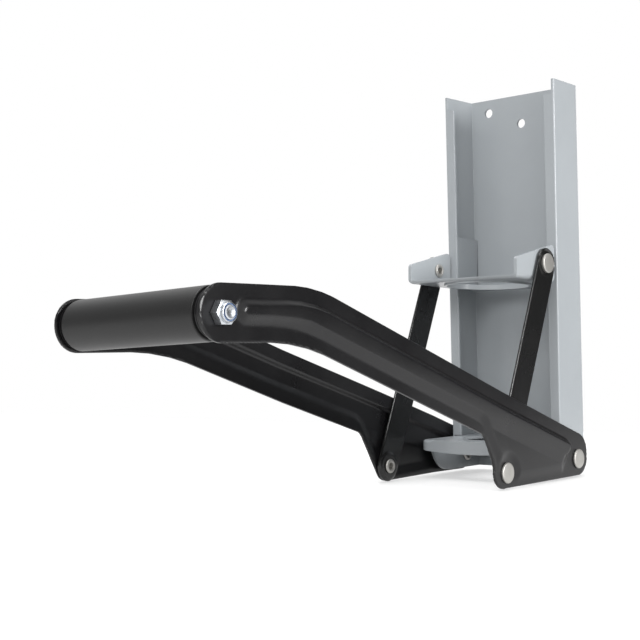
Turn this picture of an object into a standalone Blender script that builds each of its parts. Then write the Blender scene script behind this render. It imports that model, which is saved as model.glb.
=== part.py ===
"""Wall mounted lever can crusher: a folded steel channel, a sliding ram, two links and a two armed handle.

X is to the right, Y runs into the wall and Z is up. The channel's back lies on the plane Y = 0 and the
lever's pivot axis is at Z = 0. Every size is in metres.
"""

import math

import bmesh
import bpy
from mathutils import Matrix, Vector

for old in list(bpy.data.objects):
    bpy.data.objects.remove(old, do_unlink=True)

# Clearances
GAP = 0.0003  # between faces that touch, and round a shank in its hole
HAIR = 0.00001  # keeps the two corners of a fully round end apart
PROUD = 0.004  # how far a cutter runs past the metal that it cuts

# Back channel
CHANNEL_WIDTH = 0.100
CHANNEL_DEPTH = 0.0369
CHANNEL_TOP = 0.296
CHANNEL_BOTTOM = -0.011
CHANNEL_SHEET = 0.0020
CHANNEL_BEND = 0.0030  # outside radius of every fold
LIP_WIDTH = 0.0080
LIP_TOP_NOTCH = 0.0116  # the lips stop this far below the channel's top
FOOT_REACH = 0.0683  # how far the two feet at the bottom stand out from the wall
FOOT_TOE = 0.021  # radius of a foot's lower front corner
SCREW_HOLE = 0.0075
SCREW_SPREAD = 0.0313  # from the middle to each upper screw hole
SCREW_TOP = 0.0110  # from the channel's top to the upper screw holes
SCREW_DROP = 0.0126  # the middle screw hole is this much lower

# Base plate, on which the can stands
BASE_TOP = 0.0158
BASE_SHEET = 0.0025
BASE_FRONT = 0.0885
BASE_SKIRT = 0.0103
BASE_CORNER = 0.010
BASE_HOLE = 0.052
BASE_HOLE_Y = -0.0355

# Lever geometry, seen from the side
PIVOT_Y = -0.0205
CRANK = 0.1022  # from the lever's pivot to the links' lower rivets
CRANK_DROP = 0.0025  # those rivets are this much lower than the pivot at rest
LINK_LENGTH = 0.1672
RAM_PIVOT_Y = -0.0561

# Ram, a folded plate with a ring
RAM_SHEET = 0.0025
RAM_BEND = 0.0040
RAM_PIVOT_RISE = 0.0135  # from the plate's underside to the ram's rivets
RAM_FRONT = 0.0945
EAR_FRONT_HEIGHT = 0.0172
EAR_BACK_HEIGHT = 0.0282
EAR_CORNER = 0.0035
WING_HEIGHT = 0.0434
RAM_RUN = 0.0005  # sliding clearance between the ram and the channel
RING_HOLE = 0.063
RING_HOLE_Y = -0.0565
COLLAR_DEPTH = 0.0025
COLLAR_WALL = 0.0025

# Links
LINK_WIDTH = 0.0235
LINK_SHEET = 0.0030

# Lever arms
ARM_SHEET = 0.0020
ARM_RISE = 0.0035  # how far the middle of an arm is pressed outwards
ARM_SLOPE = 0.0030
ARM_WIDTH = 0.0357  # across the straight middle
ARM_UPPER = 0.0194  # from the pivot to the upper edge
ARM_LOWER = 0.0128  # from the pivot to the lower edge
ARM_TILT = math.radians(18.43)  # the straight middle climbs at this angle
ARM_END_WIDTH = 0.0327
ARM_END_RADIUS = 0.0150
ARM_BEND = 0.110  # inside radius of the bend before the handle
ARM_SPLAY = 0.0063  # the arms stand this much further out at the handle than at the pivots
ARM_FLAT = 0.0250  # from the handle's axis to where an arm's end turns parallel again
RIM = 0.0095  # from the upper edge to the raised middle
LOWER_RIM = 0.0067
HEEL_RADIUS = 0.0120
HEEL_MARGIN = 0.0042  # the heel runs this much past its own round
HEEL_LIFT = 0.0010
NECK_RISE = 0.0080  # from the lower rivet up to the bend above the heel
NECK_RADIUS = 0.0150
THROAT_REACH = 0.0290  # from the lower rivet to where the heel meets the straight lower edge
THROAT_RADIUS = 0.0090
WEB_FRONT = 0.0130  # from the handle's axis to the raised middle
WEB_CORNER = 0.0080
WEB_BACK_CORNER = 0.0050
WEB_THROAT = 0.0170
WEB_THROAT_RADIUS = 0.0200
WEB_STEP = 0.0060
WEB_STEP_HEIGHT = 0.0120
HEAD_MARGIN = 0.0045  # flat metal left round a rivet's head
HANDLE_Y = -0.4120
HANDLE_Z = 0.1080

# Handle
GRIP_DIAMETER = 0.0310
GRIP_WALL = 0.0035
TUBE_WALL = 0.0015
WASHER_DIAMETER = 0.0285
WASHER_SHEET = 0.0016
BOLT = 0.0080
NUT_ACROSS = BOLT * 13 / 8  # the standard nut and head of such a bolt
NUT_HEIGHT = BOLT * 0.65
NUT_CROWN = BOLT * 0.30
NUT_CHAMFER = 0.10  # of the nut's width
NUT_FACE = 0.94  # the flat ring on its face, of its width
CROWN_WIDTH = 0.86  # of the nut's width
CROWN_EDGE = 0.40  # of the crown's height
INSERT_WALL = 0.0006
BOLT_END = 0.0006  # the bolt stands this far out of the nut
BOLT_HEAD = BOLT * 0.6625
SOFT_END = 0.20  # of the bolt's radius

# Rivets
RIVET_HEAD = 0.0149
RIVET_HEAD_HEIGHT = 0.0017
RIVET_SHANK = 0.0080
RIVET_TAIL = 0.0108
RIVET_TAIL_HEIGHT = 0.0016
RIVET_BORE = 0.0050
RIVET_BORE_DEPTH = 0.0030

# Places that follow from the sizes above
HALF = CHANNEL_WIDTH / 2
LINK_IN = HALF + GAP
LINK_OUT = LINK_IN + LINK_SHEET
ARM_IN = LINK_OUT + GAP
ARM_OUT = ARM_IN + ARM_SHEET
WEB_IN = ARM_IN + ARM_RISE
WEB_OUT = ARM_OUT + ARM_RISE
PIVOT = Vector((0, PIVOT_Y, 0))
CRANK_PIN = Vector((0, PIVOT_Y - math.sqrt(CRANK**2 - CRANK_DROP**2), -CRANK_DROP))
RAM_PIN_RISE = math.sqrt(LINK_LENGTH**2 - (RAM_PIVOT_Y - CRANK_PIN.y) ** 2)
RAM_PIN = Vector((0, RAM_PIVOT_Y, CRANK_PIN.z + RAM_PIN_RISE))
HANDLE = Vector((0, HANDLE_Y, HANDLE_Z))
RAM_UNDER = RAM_PIN.z - RAM_PIVOT_RISE
SIDES = (("left", -1), ("right", 1))


# Materials


def material(name, colour, roughness, metallic):
    made = bpy.data.materials.new(name)
    made.use_nodes = True
    shader = made.node_tree.nodes["Principled BSDF"]
    shader.inputs["Base Color"].default_value = (*colour, 1)
    shader.inputs["Roughness"].default_value = roughness
    shader.inputs["Metallic"].default_value = metallic
    return made


GREY_PAINT = material("grey_paint", (0.47, 0.51, 0.54), 0.42, 0.0)
BLACK_COAT = material("black_coat", (0.018, 0.018, 0.020), 0.38, 0.0)
BLACK_GRIP = material("black_grip", (0.015, 0.015, 0.016), 0.62, 0.0)
RIVET_STEEL = material("rivet_steel", (0.60, 0.59, 0.56), 0.45, 1.0)
ZINC_STEEL = material("zinc_steel", (0.62, 0.63, 0.66), 0.25, 1.0)
BLUE_NYLON = material("nut_nylon", (0.45, 0.52, 0.60), 0.50, 0.0)


# Modelling tools


def finish(name, bm, paint):
    """Turns a bmesh into a named object, with flat faces kept flat and round ones shaded smooth."""
    bmesh.ops.recalc_face_normals(bm, faces=bm.faces)
    mesh = bpy.data.meshes.new(name)
    bm.to_mesh(mesh)
    bm.free()
    if paint:
        mesh.materials.append(paint)
    mesh.shade_smooth()
    mesh.set_sharp_from_angle(angle=math.radians(35))
    made = bpy.data.objects.new(name, mesh)
    bpy.context.scene.collection.objects.link(made)
    return made


def rounded(corners, step=math.radians(15)):
    """The outline through corners of (a, b, radius), with an arc of that radius at each."""
    outline = []
    for i, (a, b, radius) in enumerate(corners):
        corner = Vector((a, b))
        back = (Vector(corners[i - 1][:2]) - corner).normalized()
        ahead = (Vector(corners[(i + 1) % len(corners)][:2]) - corner).normalized()
        turn = math.pi - back.angle(ahead)
        if not radius:
            outline.append(corner)
            continue
        centre = corner + (back + ahead).normalized() * radius / math.cos(turn / 2)
        spoke = corner + back * radius * math.tan(turn / 2) - centre
        way = 1 if back.cross(ahead) < 0 else -1
        steps = max(2, round(turn / step))
        for k in range(steps + 1):
            outline.append(centre + Matrix.Rotation(way * turn * k / steps, 2) @ spoke)
    return outline


def circle(a, b, diameter, steps):
    spoke = Vector((diameter / 2, 0))
    return [Vector((a, b)) + Matrix.Rotation(math.tau * k / steps, 2) @ spoke for k in range(steps)]


def inset(outline, by):
    """The same outline moved inwards, for one that runs anticlockwise."""
    moved = []
    for i, point in enumerate(outline):
        into = (point - outline[i - 1]).normalized()
        out = (outline[(i + 1) % len(outline)] - point).normalized()
        normal = Vector((-into.y - out.y, into.x + out.x)).normalized()
        moved.append(point + normal * by / max(0.5, normal.dot(Vector((-into.y, into.x)))))
    return moved


def along(axis, a, b, place):
    """A point of an outline, on the plane at this place along the axis."""
    return {"X": (place, a, b), "Y": (a, place, b), "Z": (a, b, place)}[axis]


def lofted(name, axis, low_outline, low, high_outline, high, paint=None):
    """A closed solid between two outlines with the same number of points."""
    bm = bmesh.new()
    ends = []
    for outline, place in ((low_outline, low), (high_outline, high)):
        ends.append([bm.verts.new(along(axis, a, b, place)) for a, b in outline])
        bm.faces.new(ends[-1])
    for i in range(len(low_outline)):
        bm.faces.new((ends[0][i - 1], ends[0][i], ends[1][i], ends[1][i - 1]))
    return finish(name, bm, paint)


def prism(name, axis, outline, low, high, paint=None):
    return lofted(name, axis, outline, low, outline, high, paint)


def turned(name, profile, centre, side, steps, paint=None):
    """A solid turned about an axis along X, from a profile of (distance from the middle, radius)."""
    bm = bmesh.new()
    points = [bm.verts.new((side * x, centre.y, centre.z + radius)) for x, radius in profile]
    edges = [bm.edges.new(pair) for pair in zip(points, points[1:])]
    bmesh.ops.spin(
        bm, geom=points + edges, cent=centre, axis=(1, 0, 0), angle=math.tau, steps=steps, use_merge=True
    )
    bmesh.ops.remove_doubles(bm, verts=bm.verts, dist=1e-6)
    return finish(name, bm, paint)


def combine(piece, tool, operation):
    """Joins, cuts or trims a piece with a tool, which stays in the scene as a hidden guide."""
    step = piece.modifiers.new(tool.name, "BOOLEAN")
    step.operation = operation
    step.object = tool
    tool.hide_render = True
    tool.display_type = "WIRE"


def bore(piece, centre, diameter, low, high, steps=28):
    """A round hole along X through a piece, between two planes."""
    hole = circle(centre.y, centre.z, diameter, steps)
    combine(piece, prism(f"{piece.name}_bore", "X", hole, low, high), "DIFFERENCE")


def hang(pieces, joint):
    """Gives pieces a joint's empty as their parent, and keeps them where they are."""
    for piece in pieces:
        piece.data.transform(Matrix.Translation(-joint.location))
        piece.parent = joint


def empty(name, place):
    made = bpy.data.objects.new(name, None)
    made.location = place
    bpy.context.scene.collection.objects.link(made)
    return made


# Back channel, with lips along its front edges and a foot at the bottom of each side


def channel_outline():
    """The folded section, seen from above."""
    front = -CHANNEL_DEPTH
    inner = HALF - CHANNEL_SHEET
    lip_end = HALF - LIP_WIDTH
    tight = CHANNEL_BEND - CHANNEL_SHEET
    right = [
        (HALF, 0, CHANNEL_BEND),
        (HALF, front, CHANNEL_BEND),
        (lip_end, front, 0),
        (lip_end, front + CHANNEL_SHEET, 0),
        (inner, front + CHANNEL_SHEET, tight),
        (inner, -CHANNEL_SHEET, tight),
    ]
    left = [(-x, y, radius) for x, y, radius in reversed(right)]
    return rounded(right + left, math.radians(30))


def lip_cutter(name, side, low, high):
    """Removes one lip, and the fold that joins it to its side, between two heights."""
    end = side * (HALF - LIP_WIDTH - PROUD)
    face = side * (HALF - CHANNEL_SHEET)
    front = -CHANNEL_DEPTH
    outline = [
        Vector((end, front - PROUD)),
        Vector((face, front - PROUD)),
        Vector((face, front + CHANNEL_BEND)),
        Vector((end, front + CHANNEL_BEND)),
    ]
    return prism(name, "Z", outline, low, high)


def make_channel():
    channel = prism(
        "back_channel", "Z", channel_outline(), CHANNEL_BOTTOM, CHANNEL_TOP, GREY_PAINT
    )
    lip_top = CHANNEL_TOP - LIP_TOP_NOTCH
    back = -CHANNEL_DEPTH * 0.6
    foot = rounded(
        [
            (back, CHANNEL_BOTTOM, 0),
            (back, BASE_TOP - BASE_SHEET, 0),
            (-FOOT_REACH, BASE_TOP - BASE_SHEET, 0),
            (-FOOT_REACH, CHANNEL_BOTTOM, FOOT_TOE),
        ]
    )
    for name, side in SIDES:
        edges = sorted((side * HALF, side * (HALF - CHANNEL_SHEET)))
        combine(channel, prism(f"{name}_foot", "X", foot, *edges), "UNION")
        above = lip_cutter(f"{name}_lip_top", side, lip_top, CHANNEL_TOP + PROUD)
        combine(channel, above, "DIFFERENCE")
        below = lip_cutter(f"{name}_lip_foot", side, CHANNEL_BOTTOM - PROUD, BASE_TOP + RAM_RUN)
        combine(channel, below, "DIFFERENCE")
        bore(channel, PIVOT, RIVET_SHANK + 2 * GAP, edges[0] - PROUD, edges[1] + PROUD)
    upper = CHANNEL_TOP - SCREW_TOP
    screws = ((-SCREW_SPREAD, upper), (0, upper - SCREW_DROP), (SCREW_SPREAD, upper))
    for i, (x, z) in enumerate(screws):
        hole = circle(x, z, SCREW_HOLE, 24)
        cutter = prism(f"screw_hole_{i}", "Y", hole, -CHANNEL_SHEET - PROUD, PROUD)
        combine(channel, cutter, "DIFFERENCE")
    return channel


# Base plate, a shallow pan turned upside down between the feet


def make_base():
    side = HALF - CHANNEL_SHEET - GAP
    back = -CHANNEL_SHEET - GAP
    pan = [
        (-side, back, CHANNEL_BEND),
        (-side, -BASE_FRONT, BASE_CORNER),
        (side, -BASE_FRONT, BASE_CORNER),
        (side, back, CHANNEL_BEND),
    ]
    base = prism("base_plate", "Z", rounded(pan), BASE_TOP - BASE_SKIRT, BASE_TOP, GREY_PAINT)
    inner = side - BASE_SHEET
    corner = BASE_CORNER - BASE_SHEET
    hollow = [
        (-inner, back + PROUD, 0),
        (-inner, -BASE_FRONT + BASE_SHEET, corner),
        (inner, -BASE_FRONT + BASE_SHEET, corner),
        (inner, back + PROUD, 0),
    ]
    under = BASE_TOP - BASE_SHEET
    room = prism("base_hollow", "Z", rounded(hollow), BASE_TOP - BASE_SKIRT - PROUD, under)
    combine(base, room, "DIFFERENCE")
    hole = circle(0, BASE_HOLE_Y, BASE_HOLE, 40)
    combine(base, prism("base_hole", "Z", hole, under - PROUD, BASE_TOP + PROUD), "DIFFERENCE")
    rivet_room = RIVET_TAIL_HEIGHT + 3 * GAP
    tail_top = RIVET_TAIL / 2 + 2 * GAP
    for name, way in SIDES:
        notch = [
            Vector((PIVOT_Y - tail_top, BASE_TOP - BASE_SKIRT - PROUD)),
            Vector((PIVOT_Y + tail_top, BASE_TOP - BASE_SKIRT - PROUD)),
            Vector((PIVOT_Y + tail_top, tail_top)),
            Vector((PIVOT_Y - tail_top, tail_top)),
        ]
        edges = sorted((way * (side + PROUD), way * (side - BASE_SHEET - rivet_room)))
        combine(base, prism(f"{name}_rivet_notch", "X", notch, *edges), "DIFFERENCE")
    return base


# Ram: a plate with a ring, an ear turned up in front of each lip and a wing inside each side


def u_outline(half, low, high, sheet, bend):
    """A trough seen end on, with its bottom at low."""
    tight = bend - sheet
    right = [
        (half, low, bend),
        (half, high, 0),
        (half - sheet, high, 0),
        (half - sheet, low + sheet, tight),
    ]
    left = [(-a, b, radius) for a, b, radius in reversed(right)]
    return rounded(right + left)


def make_ram():
    over = RAM_UNDER + WING_HEIGHT + PROUD
    ear_back = -CHANNEL_DEPTH - 3 * RAM_RUN
    trough = u_outline(HALF, RAM_UNDER, over, RAM_SHEET, RAM_BEND)
    ram = prism("ram_plate", "Y", trough, -RAM_FRONT, ear_back, GREY_PAINT)
    ear_side = [
        (-RAM_FRONT, RAM_UNDER, RAM_SHEET * 0.8),
        (ear_back, RAM_UNDER, 0),
        (ear_back, RAM_UNDER + EAR_BACK_HEIGHT, EAR_CORNER),
        (-RAM_FRONT, RAM_UNDER + EAR_FRONT_HEIGHT, EAR_CORNER),
    ]
    sides = prism("ear_sides", "X", rounded(ear_side), -HALF - PROUD, HALF + PROUD)
    combine(ram, sides, "INTERSECT")
    wing_half = HALF - CHANNEL_SHEET - RAM_RUN
    wing_front = -CHANNEL_DEPTH + CHANNEL_SHEET + RAM_RUN
    wing_back = -CHANNEL_SHEET - RAM_RUN
    wings = u_outline(wing_half, RAM_UNDER, RAM_UNDER + WING_HEIGHT, RAM_SHEET, RAM_BEND)
    combine(ram, prism("wings", "Y", wings, wing_front, wing_back), "UNION")
    neck_half = HALF - LIP_WIDTH - RAM_RUN
    neck = [
        Vector((-neck_half, ear_back - PROUD)),
        Vector((neck_half, ear_back - PROUD)),
        Vector((neck_half, wing_front + PROUD)),
        Vector((-neck_half, wing_front + PROUD)),
    ]
    combine(ram, prism("neck", "Z", neck, RAM_UNDER, RAM_UNDER + RAM_SHEET), "UNION")
    collar = circle(0, RING_HOLE_Y, RING_HOLE + 2 * COLLAR_WALL, 64)
    collar_low = RAM_UNDER - COLLAR_DEPTH
    collar_top = RAM_UNDER + RAM_SHEET / 2
    combine(ram, prism("collar", "Z", collar, collar_low, collar_top), "UNION")
    hole = circle(0, RING_HOLE_Y, RING_HOLE, 64)
    combine(ram, prism("ring_hole", "Z", hole, collar_low - PROUD, RAM_UNDER + PROUD), "DIFFERENCE")
    for _, side in SIDES:
        edges = sorted((side * (HALF + PROUD), side * (HALF - RAM_SHEET - PROUD)))
        bore(ram, RAM_PIN, RIVET_SHANK + 2 * GAP, *edges)
    return ram


# Links


def make_link(name, side):
    lean = (RAM_PIN - CRANK_PIN).normalized()
    across = Vector((0, lean.z, -lean.y)) * LINK_WIDTH / 2
    tip = lean * LINK_WIDTH / 2
    ends = (
        CRANK_PIN - tip - across,
        CRANK_PIN - tip + across,
        RAM_PIN + tip + across,
        RAM_PIN + tip - across,
    )
    outline = rounded([(end.y, end.z, LINK_WIDTH / 2 - HAIR) for end in ends])
    edges = sorted((side * LINK_IN, side * LINK_OUT))
    link = prism(f"link_{name}", "X", outline, *edges, BLACK_COAT)
    for pin in (CRANK_PIN, RAM_PIN):
        bore(link, pin, RIVET_SHANK + 2 * GAP, edges[0] - PROUD, edges[1] + PROUD)
    return link


# Lever arms, pressed sheets whose middle stands out from a flat rim


def arm_line(offset, y):
    """The height at y of a line along the arm's straight middle, this far above the pivot."""
    return (offset / math.cos(ARM_TILT)) - (y - PIVOT_Y) * math.tan(ARM_TILT)


def arm_corners():
    """The arm's outline, anticlockwise seen from the right side with the wall on the right."""
    upper = HANDLE_Z + ARM_END_WIDTH / 2
    lower = HANDLE_Z - ARM_END_WIDTH / 2
    slope = math.tan(ARM_TILT)
    top_bend = PIVOT_Y - (upper - ARM_UPPER / math.cos(ARM_TILT)) / slope
    under = ARM_UPPER - ARM_WIDTH
    low_bend = PIVOT_Y - (lower - under / math.cos(ARM_TILT)) / slope
    back = PIVOT_Y + ARM_END_RADIUS - GAP
    heel_y = CRANK_PIN.y - HEEL_RADIUS - HEEL_MARGIN
    heel_low = CRANK_PIN.z - HEEL_RADIUS + HEEL_LIFT
    throat = PIVOT_Y - CRANK - THROAT_REACH
    front = HANDLE_Y - ARM_END_WIDTH / 2
    end = ARM_END_WIDTH / 2 - HAIR
    return [
        (front, lower, end),
        (low_bend, lower, ARM_BEND + ARM_WIDTH),
        (throat, arm_line(under, throat), THROAT_RADIUS),
        (heel_y, CRANK_PIN.z + NECK_RISE, NECK_RADIUS),
        (heel_y, heel_low, HEEL_RADIUS),
        (back, -ARM_LOWER, ARM_END_RADIUS * 0.9),
        (back, arm_line(ARM_UPPER, back), ARM_END_RADIUS),
        (top_bend, upper, ARM_BEND),
        (front, upper, end),
    ]


def web_corners():
    """The pressed middle's outline, which stays clear of the pivot and of the handle's bolt."""
    upper = HANDLE_Z + ARM_END_WIDTH / 2 - RIM
    lower = HANDLE_Z - ARM_END_WIDTH / 2 + LOWER_RIM
    slope = math.tan(ARM_TILT)
    top_bend = PIVOT_Y - (upper - (ARM_UPPER - RIM) / math.cos(ARM_TILT)) / slope
    under = ARM_UPPER - ARM_WIDTH + LOWER_RIM
    low_bend = PIVOT_Y - (lower - under / math.cos(ARM_TILT)) / slope
    front = HANDLE_Y + WEB_FRONT
    back = PIVOT_Y - RIVET_HEAD / 2 - HEAD_MARGIN
    bottom = LOWER_RIM - ARM_LOWER
    throat = PIVOT_Y - CRANK - WEB_THROAT
    heel_y = CRANK_PIN.y + RIVET_HEAD / 2 + HEAD_MARGIN
    return [
        (front, lower, WEB_CORNER),
        (low_bend, lower, ARM_BEND + ARM_WIDTH),
        (throat, arm_line(under, throat), WEB_THROAT_RADIUS),
        (heel_y, WEB_STEP_HEIGHT, WEB_STEP),
        (heel_y + WEB_STEP, bottom, WEB_STEP),
        (back, bottom, WEB_BACK_CORNER),
        (back, arm_line(ARM_UPPER - RIM, back), WEB_CORNER),
        (top_bend, upper, ARM_BEND),
        (front, upper, WEB_CORNER),
    ]


def splay(piece, side):
    """Leans a sheet outwards from the links' lower rivets to the handle, where it is parallel again."""
    bm = bmesh.new()
    bm.from_mesh(piece.data)
    flat = HANDLE_Y + ARM_FLAT
    for y in (CRANK_PIN.y, flat):
        everything = bm.verts[:] + bm.edges[:] + bm.faces[:]
        bmesh.ops.bisect_plane(bm, geom=everything, plane_co=(0, y, 0), plane_no=(0, 1, 0))
    for vert in bm.verts:
        share = (CRANK_PIN.y - vert.co.y) / (CRANK_PIN.y - flat)
        vert.co.x += side * ARM_SPLAY * min(1, max(0, share))
    bm.to_mesh(piece.data)
    bm.free()
    return piece


def make_arm(name, side):
    outline = rounded(arm_corners())
    edges = sorted((side * ARM_IN, side * ARM_OUT))
    arm = splay(prism(f"lever_arm_{name}", "X", outline, *edges, BLACK_COAT), side)
    web = rounded(web_corners())
    foot = ARM_SHEET * 0.5
    swell = foot / ARM_RISE * ARM_SLOPE
    raised = lofted(
        f"{name}_web", "X", inset(web, -swell), side * (ARM_OUT - foot), inset(web, ARM_SLOPE), side * WEB_OUT
    )
    combine(arm, splay(raised, side), "UNION")
    shift = ARM_SHEET * 0.3
    hollow = lofted(
        f"{name}_hollow",
        "X",
        inset(web, shift - swell),
        side * (ARM_IN - foot),
        inset(web, shift + ARM_SLOPE),
        side * WEB_IN,
    )
    combine(arm, splay(hollow, side), "DIFFERENCE")
    edges = sorted((side * (ARM_IN - PROUD), side * (WEB_OUT + ARM_SPLAY + PROUD)))
    for pin, shank in ((PIVOT, RIVET_SHANK), (CRANK_PIN, RIVET_SHANK), (HANDLE, BOLT)):
        bore(arm, pin, shank + 2 * GAP, *edges)
    return arm


# Rivets and spacers


def head_profile(face, end):
    """A flat rivet head standing on a face, and its shank down to an end."""
    shank = RIVET_SHANK / 2
    edge = RIVET_HEAD / 2
    top = face + GAP + RIVET_HEAD_HEIGHT
    soft = RIVET_HEAD_HEIGHT * 0.3
    head = [(top, 0), (top, edge - soft), (top - soft, edge), (face + GAP, edge), (face + GAP, shank)]
    return head + ([(end, shank), (end, 0)] if end is not None else [])


def tail_profile(face):
    """A rivet's rolled tail under a face, with the open end of its bore."""
    shank = RIVET_SHANK / 2
    edge = RIVET_TAIL / 2
    low = face - GAP - RIVET_TAIL_HEIGHT
    soft = RIVET_TAIL_HEIGHT * 0.4
    rim = [(face - GAP, shank), (face - GAP, edge), (low + soft, edge), (low, edge - soft)]
    hollow = RIVET_BORE / 2
    return rim + [(low, hollow), (low + RIVET_BORE_DEPTH, hollow), (low + RIVET_BORE_DEPTH, 0)]


def make_rivet(name, side, pin, outer, inner):
    """One whole rivet: its head is on the outer face and its tail under the inner one."""
    profile = head_profile(outer, None) + tail_profile(inner)
    return turned(name, profile, pin, side, 32, RIVET_STEEL)


def make_spacer(name, side):
    inner = RIVET_SHANK / 2 + GAP
    outer = RIVET_HEAD / 2
    spacer = prism(
        f"pivot_spacer_{name}",
        "X",
        circle(PIVOT.y, PIVOT.z, 2 * outer, 32),
        *sorted((side * LINK_IN, side * LINK_OUT)),
        ZINC_STEEL,
    )
    bore(spacer, PIVOT, 2 * inner, *sorted((side * (LINK_IN - PROUD), side * (LINK_OUT + PROUD))))
    return spacer


# Handle: a steel tube under a grip, clamped between the arms by one long bolt


def ring(name, low, high, outer, inner, paint, steps=40):
    made = prism(name, "X", circle(HANDLE.y, HANDLE.z, outer, steps), low, high, paint)
    bore(made, HANDLE, inner, low - PROUD, high + PROUD, steps)
    return made


def hexagon(name, low, high, paint):
    """A hexagon on the bolt's axis, with its corners chamfered at the outer end."""
    across_corners = NUT_ACROSS / math.cos(math.pi / 6)
    outline = circle(HANDLE.y, HANDLE.z, across_corners, 6)
    made = prism(name, "X", outline, *sorted((low, high)), paint)
    cone = [
        (abs(low) - PROUD, 0),
        (abs(low) - PROUD, across_corners),
        (abs(high) - NUT_ACROSS * NUT_CHAMFER, (across_corners + NUT_ACROSS * NUT_CHAMFER) / 2),
        (abs(high), NUT_ACROSS / 2 * NUT_FACE),
        (abs(high), 0),
    ]
    side = 1 if high > 0 else -1
    combine(made, turned(f"{name}_chamfer", cone, HANDLE, side, 36), "INTERSECT")
    return made


def make_handle():
    washer_out = ARM_IN + ARM_SPLAY - GAP
    washer_in = washer_out - WASHER_SHEET
    tube_end = washer_in - GAP
    tube_outer = GRIP_DIAMETER - 2 * GRIP_WALL - 2 * GAP
    bolt_hole = BOLT + 2 * GAP
    pieces = [
        ring("handle_grip", -tube_end, tube_end, GRIP_DIAMETER, tube_outer + 2 * GAP, BLACK_GRIP),
        ring("handle_tube", -tube_end, tube_end, tube_outer, tube_outer - 2 * TUBE_WALL, ZINC_STEEL),
    ]
    for name, side in SIDES:
        edges = sorted((side * washer_in, side * washer_out))
        washer = ring(f"handle_washer_{name}", *edges, WASHER_DIAMETER, bolt_hole, BLACK_COAT)
        pieces.append(washer)
    seat = ARM_OUT + ARM_SPLAY + GAP
    nut_top = seat + NUT_HEIGHT
    nut = hexagon("handle_nut", seat, nut_top, ZINC_STEEL)
    crown_out = NUT_ACROSS / 2 * CROWN_WIDTH
    crown_root = nut_top - PROUD / 4
    crown = [
        (crown_root, 0),
        (crown_root, crown_out),
        (nut_top + NUT_CROWN * (1 - CROWN_EDGE), crown_out),
        (nut_top + NUT_CROWN, crown_out - NUT_CROWN * CROWN_EDGE),
        (nut_top + NUT_CROWN, 0),
    ]
    combine(nut, turned("nut_crown", crown, HANDLE, 1, 36), "UNION")
    bore(nut, HANDLE, bolt_hole, seat - PROUD, nut_top + NUT_CROWN + PROUD)
    insert_in = nut_top + NUT_CROWN * 0.1
    insert_out = nut_top + NUT_CROWN * 0.8
    insert_outer = bolt_hole + 2 * INSERT_WALL
    pocket = insert_outer + 2 * GAP
    bore(nut, HANDLE, pocket, insert_in - GAP, nut_top + NUT_CROWN + PROUD)
    insert = ring("nut_insert", insert_in, insert_out, insert_outer, bolt_hole, BLUE_NYLON, 28)
    end = nut_top + NUT_CROWN + BOLT_END
    radius = BOLT / 2
    soft = radius * SOFT_END
    bolt_profile = [
        (-seat - BOLT_HEAD / 2, 0),
        (-seat - BOLT_HEAD / 2, radius),
        (end - soft, radius),
        (end, radius - soft),
        (end, 0),
    ]
    bolt = turned("handle_bolt", bolt_profile, HANDLE, 1, 28, ZINC_STEEL)
    head = hexagon("bolt_head_shape", -seat, -seat - BOLT_HEAD, None)
    combine(bolt, head, "UNION")
    return pieces + [nut, insert, bolt]


# The whole crusher

make_channel()
make_base()
lever_hinge = empty("lever_hinge", PIVOT)
ram_slide = empty("ram_slide", RAM_PIN)
link_hinge = empty("link_hinge", RAM_PIN)
lever_pieces = make_handle()
ram_pieces = [make_ram()]
link_pieces = []
for word, way in SIDES:
    lever_pieces.append(make_arm(word, way))
    link_pieces.append(make_link(word, way))
    make_spacer(word, way)
    make_rivet(f"pivot_rivet_{word}", way, PIVOT, ARM_OUT, HALF - CHANNEL_SHEET)
    ram_pieces.append(make_rivet(f"ram_rivet_{word}", way, RAM_PIN, LINK_OUT, HALF - RAM_SHEET))
    # The links' lower rivet is open here: its head goes with the arm and its tail with the link.
    crank_head = head_profile(ARM_OUT, ARM_IN)
    lever_pieces.append(turned(f"link_rivet_head_{word}", crank_head, CRANK_PIN, way, 32, RIVET_STEEL))
    crank_tail = [(LINK_OUT, 0), (LINK_OUT, RIVET_SHANK / 2)] + tail_profile(LINK_IN)
    link_pieces.append(turned(f"link_rivet_tail_{word}", crank_tail, CRANK_PIN, way, 32, RIVET_STEEL))
hang(lever_pieces, lever_hinge)
hang(ram_pieces, ram_slide)
hang(link_pieces, link_hinge)
link_hinge.location -= ram_slide.location
link_hinge.parent = ram_slide
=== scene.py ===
import math

import bmesh
import bpy
import numpy as np
from mathutils import Matrix, Vector


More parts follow.
